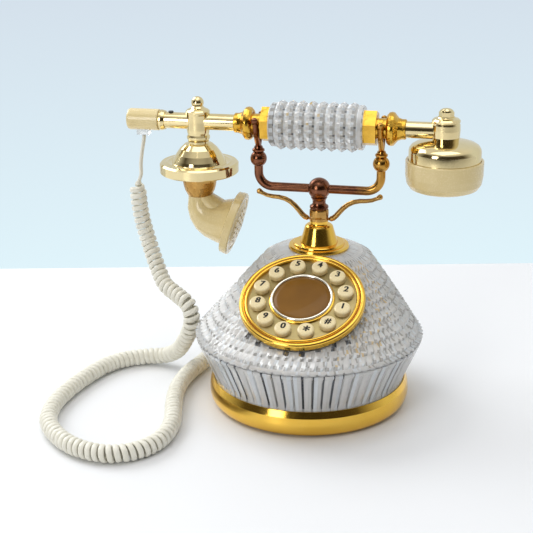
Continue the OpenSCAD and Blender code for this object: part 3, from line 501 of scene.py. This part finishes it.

# ---------------------------------------------------------------- Liner
# A thin satin-white shell inside the glass: painted light, standing in for the bright room seen through the clear
# glass, and it keeps the works from showing through it.
painted_light_liner, shader, paint = painted("painted_light_liner", (0.86, 0.86, 0.84), 0.35, Metallic=0.2)
paint.feed(shader.inputs["Roughness"], grain(paint, 150) * 0.2 + 0.25)
columns = 96
outer = [
    circle(skirt_foot_r - glass_wall - 0.0004, 0, seam - 0.034, columns),
    circle(skirt_foot_r - glass_wall - 0.0002, 0, seam - 0.030, columns),
    circle(rim_r - glass_wall - 0.0036, 0, seam - 0.002, columns),
    circle(rim_r - glass_wall - 0.0040, 0, seam + 0.001, columns),
    dome_ring(dome_z + 0.001, 0.0068, columns), dome_ring(crown - glass_wall - 0.0006, 0.0080, columns),
    circle(0.0100, column_y, crown - glass_wall - 0.0006, columns),
]
thickness = 0.0006
inner = [
    circle(0.0100, column_y, crown - glass_wall - 2 * thickness, columns),
    dome_ring(crown - glass_wall - 2 * thickness, 0.0080 + thickness, columns),
    dome_ring(dome_z + 0.001, 0.0068 + thickness, columns),
    circle(rim_r - glass_wall - 0.0040 - thickness, 0, seam + 0.001, columns),
    circle(rim_r - glass_wall - 0.0036 - thickness, 0, seam - 0.002, columns),
    circle(skirt_foot_r - glass_wall - 0.0002 - thickness, 0, seam - 0.030, columns),
    circle(skirt_foot_r - glass_wall - 0.0004 - thickness, 0, seam - 0.034, columns),
]
liner = piece("inner_liner", *closed_shell(outer, inner, columns), painted_light_liner)
carve(liner, [cutter(0.0434, -0.06, 0.06, dial_place)])
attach(liner, "telephone")

# ---------------------------------------------------------------- Dial
# A pressed brass plate, brushed and lacquered olive, sunk in a gilt bezel over a zinc cup. The
# ivory buttons stand through it, and a ring in the middle holds a brown card under a clear lens.
zinc_cast, shader, paint = painted("zinc_casting", (0.55, 0.54, 0.50), 0.35, Metallic=0.9)
raise_by(paint, shader, grain(paint, 900, 3), 0.2, 0.0003)
dress(zinc_cast, "dial_housing")


def dial_angle(paint):
    """The angle round the dial and the distance from its middle, from the surface's place."""
    mapping = paint.add("ShaderNodeMapping", {"vector_type": "TEXTURE"}, Vector=place(paint),
                        Location=tuple(dial_middle), Rotation=(math.radians(26), 0, 0))
    parts = mapping.tree.nodes.new("ShaderNodeSeparateXYZ")
    mapping.tree.links.new(mapping.socket, parts.inputs[0])
    x, y = Paint(paint.tree, parts.outputs[0]), Paint(paint.tree, parts.outputs[1])
    return x.maths("ARCTAN2", y, x), x.maths("SQRT", x * x + y * y)


olive_brass, shader, paint = painted("olive_brass", (0.36, 0.29, 0.13), 0.3, Metallic=1.0)
turn, out = dial_angle(paint)
round_the_dial = paint.add("ShaderNodeCombineXYZ", X=turn * 4.0, Y=out * 4000.0)
brushing = paint.add("ShaderNodeTexNoise", {"noise_dimensions": "2D"}, Vector=round_the_dial, Scale=1.0, Detail=3.0)
paint.feed(shader.inputs["Base Color"], brushing.mix((0.42, 0.34, 0.16, 1), (0.27, 0.21, 0.09, 1)))
paint.feed(shader.inputs["Roughness"], brushing * 0.25 + 0.2)
raise_by(paint, shader, brushing, 0.2, 0.0001)


def arc(r, z, radius, first, last, steps=8):
    """Profile points round a small roll, in millimetres."""
    return [(r + radius * math.cos(math.radians(a)), z + radius * math.sin(math.radians(a)))
            for a in np.linspace(first, last, steps)]


def turned(name, profile, material, placement, columns=128):
    """A turned ring: a closed profile of (radius, height) in millimetres, spun about a placement's Z."""
    angle = np.arange(columns) * 2 * math.pi / columns
    rows = [np.stack([r * np.cos(angle), r * np.sin(angle), np.full(columns, z)], axis=1) * 0.001 for r, z in profile]
    points, faces = closed_shell(rows, [], columns)
    made = piece(name, [placement @ Vector(p) for p in points], faces, material)
    made.data.set_sharp_from_angle(angle=math.radians(35))
    return made


bezel = turned("bezel", [(40.7, -1.6), (45.2, -1.6), (45.2, 0.6), *arc(43.3, 1.3, 1.9, -10, 165), (41.3, 1.5),
                         *arc(40.0, 2.4, 1.1, -10, 180), (38.9, 1.5), (40.7, 1.4)], gilt, dial_place)
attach(bezel, "telephone")
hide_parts("dial_bezel")
groove_brown, shader, paint = painted("groove_brown", (0.22, 0.085, 0.01), 0.3, Metallic=0.6)
paint.feed(shader.inputs["Roughness"], grain(paint, 900) * 0.2 + 0.2)
groove = turned("bezel_groove", [(40.9, 1.4), (41.8, 1.4), (41.7, 2.2), (41.2, 2.3), (40.9, 2.2)],
                groove_brown, dial_place)
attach(groove, "telephone")
plate = turned("plate", [(14, 0.9), (39.4, 0.9), (39.4, 1.55), (39.2, 1.6), (14, 1.6)], olive_brass, dial_place)
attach(plate, "telephone")
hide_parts("dial_plate")

silver_trim, shader, paint = painted("silver_trim", (0.90, 0.86, 0.74), 0.1, Metallic=1.0)
paint.feed(shader.inputs["Roughness"], grain(paint, 500) * 0.12 + 0.05)
step = turned("centre_step", [(15.5, 1.5), (23.6, 1.5), (23.6, 2.5), (23.2, 2.9), (22.4, 3.1), (15.5, 3.0)],
              gilt, dial_place)
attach(step, "telephone")
trim = turned("centre_trim", [*arc(21.4, 3.8, 1.1, -60, 200, 12), (20.4, 3.0)], silver_trim, dial_place)
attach(trim, "telephone")
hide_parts("dial_centre_ring")

brown_card, shader, paint = painted("brown_card", (0.21, 0.10, 0.008), 0.3, Coat_Weight=0.2, Coat_Roughness=0.04,
                                   Specular_IOR_Level=0.15)
shade = grain(paint, 60, 3)
paint.feed(shader.inputs["Base Color"], shade.mix((0.25, 0.11, 0.006, 1), (0.15, 0.060, 0.003, 1)))
card = turned("card", [(0.01, 2.9), (20.5, 2.9), (20.5, 3.3), (19.8, 3.9), (17, 4.3), (12, 4.6), (6, 4.75),
                       (0.01, 4.8)], brown_card, dial_place)
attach(card, "telephone")
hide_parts("dial_card")

# ---------------------------------------------------------------- Buttons
# Turned caps of ivory plastic on springs, each with its figure printed in black.
ivory_key, shader, paint = painted("ivory_key", (0.80, 0.66, 0.38), 0.28, Coat_Weight=0.4, Coat_Roughness=0.12)
paint.feed(shader.inputs["Base Color"], grain(paint, 200, 3).mix((0.88, 0.75, 0.45, 1), (0.79, 0.64, 0.34, 1)))
paint.feed(shader.inputs["Roughness"], grain(paint, 900) * 0.15 + 0.2)
print_ink, shader, paint = painted("print_ink", (0.012, 0.011, 0.01), 0.35)
paint.feed(shader.inputs["Roughness"], grain(paint, 1500) * 0.2 + 0.3)
keys = ["1", "2", "3", "4", "5", "6", "7", "8", "9", "0", "star", "hash"]
figures = {"star": "*", "hash": "#"}
for key in keys:
    node = "button_" + key
    dress(ivory_key, node)
    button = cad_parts[node]
    cap = np.array([dial_place.inverted() @ (button.matrix_world @ v.co) for v in button.data.vertices])
    cap = cap[cap[:, 2] > cap[:, 2].max() - 0.0001]
    stem, cap_top = cap[:, :2].mean(0), cap[:, 2].max()
    letters = bpy.data.curves.new("figure_" + key, "FONT")
    letters.body = figures.get(key, key)
    letters.size, letters.extrude, letters.offset = 0.011 if key == "star" else 0.0070, 0.00006, 0.0001
    letters.align_x, letters.align_y = "CENTER", "CENTER"
    letters.shear = 0.1
    figure = bpy.data.objects.new("figure_" + key, letters)
    bpy.context.scene.collection.objects.link(figure)
    raised = 0.0011 if key.isdigit() else -0.0019 if key == "star" else 0.0003
    mesh = figure.to_mesh()
    points, faces = [], []
    for bolder in (-0.0002, -0.0001, 0.0, 0.0001, 0.0002):
        where = dial_place @ Matrix.Translation((stem[0] + bolder, stem[1] + raised, cap_top + 0.00005))
        faces += [[len(points) + i for i in face.vertices] for face in mesh.polygons]
        points += [where @ v.co for v in mesh.vertices]
    bpy.data.objects.remove(figure)
    printed = piece("figure_" + key, points, faces, print_ink, smooth=False)
    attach(printed, "key_" + key)

# ---------------------------------------------------------------- Column and cradle
# The turned gilt column carries a brass collar and two cast brass scrolls. The ball, the bent bar
# and the forks above it are plated dark copper bronze and rise on a sprung steel rod.
aged_brass, shader, paint = painted("aged_brass", (0.60, 0.37, 0.13), 0.24, Metallic=1.0)
cloud = grain(paint, 110, 4)
paint.feed(shader.inputs["Base Color"], cloud.mix((0.66, 0.40, 0.12, 1), (0.38, 0.19, 0.05, 1)))
paint.feed(shader.inputs["Roughness"], grain(paint, 420, 3) * 0.28 + 0.1)
raise_by(paint, shader, grain(paint, 900, 3), 0.12, 0.0003)
dress(aged_brass, "scroll_arms", "column_collar", "horn_cup")

copper_bronze, shader, paint = painted("copper_bronze", (0.26, 0.10, 0.055), 0.2, Metallic=1.0)
cloud = grain(paint, 130, 4)
parts = paint.tree.nodes.new("ShaderNodeSeparateXYZ")
paint.tree.links.new(place(paint).socket, parts.inputs[0])
# The bronze's colour goes from dark to gold towards +x, on the right of the cradle.
gold_toward_right = (Paint(paint.tree, parts.outputs[0]) - (base_x + 0.034)) * 70.0 + cloud * 0.9
dark = cloud.mix((0.30, 0.125, 0.065, 1), (0.13, 0.045, 0.025, 1))
gold = cloud.mix((0.70, 0.40, 0.08, 1), (0.30, 0.13, 0.03, 1))
shown = paint.add("ShaderNodeClamp", Value=gold_toward_right)
paint.feed(shader.inputs["Base Color"], shown.mix(dark, gold))
paint.feed(shader.inputs["Roughness"], grain(paint, 500, 3) * 0.22 + 0.1)
dress(copper_bronze, "cradle_ball", "cradle_yoke", "cradle_forks")

# ---------------------------------------------------------------- Handset metal
# Tube, tees, dome and disc of the handset are spun and turned brass under a pale champagne plate.
champagne, shader, paint = painted("champagne", (0.82, 0.68, 0.36), 0.1, Metallic=1.0)
cloud = grain(paint, 60, 3)
paint.feed(shader.inputs["Base Color"], cloud.mix((0.88, 0.75, 0.44, 1), (0.74, 0.59, 0.29, 1)))
paint.feed(shader.inputs["Roughness"], grain(paint, 400, 4) * 0.14 + 0.04)
dress(champagne, "handset_tube", "cap_ring", "transmitter_tee", "tee_finials", "transmitter_bell", "receiver_tee")
ear_low, ear_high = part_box("ear_cap")
ear_place = Matrix.Translation(((ear_low.x + ear_high.x) / 2, (ear_low.y + ear_high.y) / 2, ear_low.z))
ear_dome = turned("ear_dome", [(24.6, 12), (26.2, 12), (26.2, 28.6), (25.8, 30.4), (24.6, 32.2), (22.4, 33.6),
                               (18, 34.9), (12.5, 35.8), (8, 36.2), (8, 34), (22, 31)], champagne, ear_place)
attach(ear_dome, "handset")
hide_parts("receiver_dome")

gilt_casting, shader, paint = painted("gilt_casting", (0.80, 0.47, 0.06), 0.2, Metallic=1.0)
cloud = grain(paint, 150, 4)
paint.feed(shader.inputs["Base Color"], cloud.mix((0.90, 0.56, 0.09, 1), (0.55, 0.29, 0.03, 1)))
paint.feed(shader.inputs["Roughness"], grain(paint, 500, 3) * 0.2 + 0.1)
raise_by(paint, shader, grain(paint, 160, 2), 0.5, 0.002)
dress(gilt_casting, "spools")

# ---------------------------------------------------------------- Handset plastic
# The cord-end cap, the horn with its grille and the ear cap are glossy ivory mouldings.
ivory, shader, paint = painted("ivory_plastic", (0.76, 0.62, 0.33), 0.25, Coat_Weight=0.5, Coat_Roughness=0.1)
paint.feed(shader.inputs["Base Color"], grain(paint, 70, 3).mix((0.84, 0.69, 0.36, 1), (0.75, 0.59, 0.27, 1)))
paint.feed(shader.inputs["Roughness"], grain(paint, 800) * 0.16 + 0.18)
raise_by(paint, shader, grain(paint, 700, 2), 0.05, 0.0002)
dress(ivory, "cord_cap", "mouthpiece_grille", "ear_cap")
cup_low, cup_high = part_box("horn_cup")
horn_x, horn_y, horn_top = (cup_low.x + cup_high.x) / 2, (cup_low.y + cup_high.y) / 2, cup_low.z
sections = [
    (0, 2.0, 0, 7.8), (0, 0.3, 0, 8.3), (0, -0.2, 0, 8.9), (0, -2.4, 3, 9.1), (0.2, -7.5, 16, 10.4),
    (2.2, -12.3, 34, 12.2), (5.6, -15.9, 52, 14.2),
    (10.8, -18.4, 64, 15.9), (16.8, -19.6, 71, 17.3), (22.6, -20.2, 73, 18.8),
    (22.6, -20.2, 73, 23.0), (23.2, -20.4, 73, 24.2), (25.8, -21.2, 73, 24.2), (25.8, -21.2, 73, 12),
]
rings = []
columns = 64
angle = np.arange(columns) * 2 * math.pi / columns
for x, z, turn, radius in sections:
    turn = math.radians(turn)
    ring = np.stack([np.cos(angle) * radius * math.cos(turn) + x, np.sin(angle) * radius,
                     np.cos(angle) * radius * math.sin(turn) + z], axis=1)
    rings.append(ring * 0.001 + (horn_x, horn_y, horn_top))
horn = piece("horn", *closed_shell(rings, [], columns), ivory)
horn.data.set_sharp_from_angle(angle=math.radians(40))
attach(horn, "handset")
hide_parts("mouthpiece_horn")
# A near-black disc behind the grille is painted shade: it makes the grille's holes dark, as the shade inside the
# mouthpiece does.
grille_painted_shade, shader, paint = painted("grille_painted_shade", (0.05, 0.04, 0.03), 0.9)
raise_by(paint, shader, grain(paint, 4000, 2), 0.4, 0.0003)
mouth_turn = Matrix.Rotation(math.radians(107), 4, "Y")
mouth_place = Matrix.Translation((horn_x + 0.0226, horn_y, horn_top - 0.0202)) @ mouth_turn
felt = turned("mouth_felt", [(0.01, 2.7), (14.2, 2.7), (14.4, 3.2), (8, 3.3), (0.01, 3.3)], grille_painted_shade, mouth_place)
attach(felt, "handset")

# ---------------------------------------------------------------- Glass grip
# One pressed glass sleeve over the tube, with plain ends and rows of pointed studs between them.
grip_low, grip_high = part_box("glass_grip")
grip_y, grip_z = (grip_low.y + grip_high.y) / 2, (grip_low.z + grip_high.z) / 2
grip_r = (grip_high.z - grip_low.z) / 2
stud_rows, studs_round = 8, 16
plain_left, plain_right = 0.0045, 0.0045
columns = studs_round * 4
in_stud = np.arange(columns) % 4
stud = np.select([in_stud == 0, in_stud == 2], [1.0, 0.0], 0.35)


def grip_ring(x, radius, columns):
    angle = np.arange(columns) * 2 * math.pi / columns + math.pi / columns
    radius = np.broadcast_to(radius, columns)
    return np.stack([np.full(columns, x), grip_y + radius * np.cos(angle), grip_z + radius * np.sin(angle)], axis=1)


root_r = grip_r - 0.0026
outer = [grip_ring(x, r, columns) for x, r in (
    (grip_low.x, grip_r - 0.0034), (grip_low.x + 0.0012, grip_r - 0.0022), (grip_low.x + 0.0040, grip_r - 0.0022))]
first, last = grip_low.x + plain_left, grip_high.x - plain_right
stud_length = (last - first) / stud_rows
for row in range(stud_rows):
    start = first + row * stud_length
    outer.append(grip_ring(start, root_r, columns))
    outer.append(grip_ring(start + 0.22 * stud_length, root_r + 0.0013 * stud, columns))
    outer.append(grip_ring(start + 0.50 * stud_length, root_r + 0.0026 * stud, columns))
    outer.append(grip_ring(start + 0.78 * stud_length, root_r + 0.0013 * stud, columns))
outer += [grip_ring(x, r, columns) for x, r in (
    (last, root_r), (grip_high.x - 0.0036, grip_r - 0.0020), (grip_high.x - 0.0010, grip_r - 0.0020),
    (grip_high.x, grip_r - 0.0032))]
inner = [grip_ring(grip_high.x, 0.0068, columns), grip_ring(grip_low.x, 0.0068, columns)]
grip = piece("grip_glass", *closed_shell(outer, inner, columns), pressed_glass, smooth=False)


def grip_painted_light(centre, number):
    """Painted light on each stud: bright on one side and painted greyer on the other, with painted dark glints in a
    few roots and a few painted gold glints.
    """
    value = scatter(number)
    column, row = number % columns % 4, (number // columns - 3) % 4
    if row == 3:
        return 3 if column == 1 and value < 0.5 else 2
    if row == 2:
        return 2 if column in (1, 2) else 1
    if row == 0:
        return 1 if column in (1, 2) else 0
    return 4 if value > 0.95 else 0


paint_facet_light(grip, grip_painted_light)
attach(grip, "handset")
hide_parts("glass_grip")

# ---------------------------------------------------------------- Table, wall and light
# A pale table top that ends behind the telephone, a pale blue wall beyond it, and window light.
table_paint, shader, paint = painted("table_top", (0.86, 0.87, 0.89), 0.5)
paint.feed(shader.inputs["Base Color"], grain(paint, 3, 2).mix((0.88, 0.885, 0.90, 1), (0.83, 0.845, 0.87, 1)))
paint.feed(shader.inputs["Roughness"], grain(paint, 40) * 0.15 + 0.4)
toward = Vector((-math.sin(azimuth), math.cos(azimuth), 0))
foot = Vector((base_x, 0, 0))
table_points = [foot + level * w + toward * d for w, d in ((-3, -3), (3, -3), (3, 0.29), (-3, 0.29))]
table = piece("table", table_points, [(0, 1, 2, 3)], table_paint)

world = bpy.data.worlds.new("room")
bpy.context.scene.world = world
world.use_nodes = True
sky = Paint(world.node_tree)
direction = sky.add("ShaderNodeTexCoord", output=0)
parts = world.node_tree.nodes.new("ShaderNodeSeparateXYZ")
world.node_tree.links.new(direction.socket, parts.inputs[0])
depth, height = Paint(world.node_tree, parts.outputs[1]), Paint(world.node_tree, parts.outputs[2])
room = sky.add("ShaderNodeValToRGB", {"stops": [
    (0.0, (0.05, 0.045, 0.035)), (0.30, (0.10, 0.085, 0.06)), (0.46, (0.55, 0.55, 0.53)), (0.62, (0.92, 0.97, 1.0))]},
    Fac=depth * 0.5 + 0.5)
overhead = sky.add("ShaderNodeValToRGB", {"stops": [(0.55, (0, 0, 0)), (0.8, (1, 1, 1))]}, Fac=height)
room = overhead.mix(room, (1.0, 1.0, 1.0, 1))
wall = sky.add("ShaderNodeValToRGB", {"stops": [(0.0, (0.75, 0.91, 0.97)), (1.0, (0.66, 0.745, 0.83))]},
               Fac=height * 4.5 + 1.5)
shown = sky.add("ShaderNodeLightPath", output=0)
background = world.node_tree.nodes["Background"]
sky.feed(background.inputs["Color"], shown.mix(room, wall))
sky.feed(background.inputs["Strength"], shown * 0.22 + 0.78)
bpy.context.scene.view_settings.view_transform = "Standard"


def lamp(name, where, aim, size, power, colour=(1, 1, 1)):
    """A soft area lamp."""
    light = bpy.data.lights.new(name, "AREA")
    light.shape, light.size, light.size_y = "RECTANGLE", size[0], size[1]
    light.energy, light.color = power, colour
    made = bpy.data.objects.new(name, light)
    bpy.context.scene.collection.objects.link(made)
    made.location = where
    made.rotation_mode = "QUATERNION"
    made.rotation_quaternion = (Vector(aim) - Vector(where)).to_track_quat("-Z", "Y")


lamp("window", (-1.3, 0.6, 1.3), (0, 0, 0.08), (1.2, 1.2), 18, (0.97, 0.985, 1.0))
lamp("ceiling", (0.1, -0.1, 1.9), (0, 0, 0), (1.6, 1.2), 8)
lamp("front", (-0.7, -1.5, 0.7), (0, 0, 0.1), (0.5, 0.9), 8, (1.0, 0.99, 0.97))
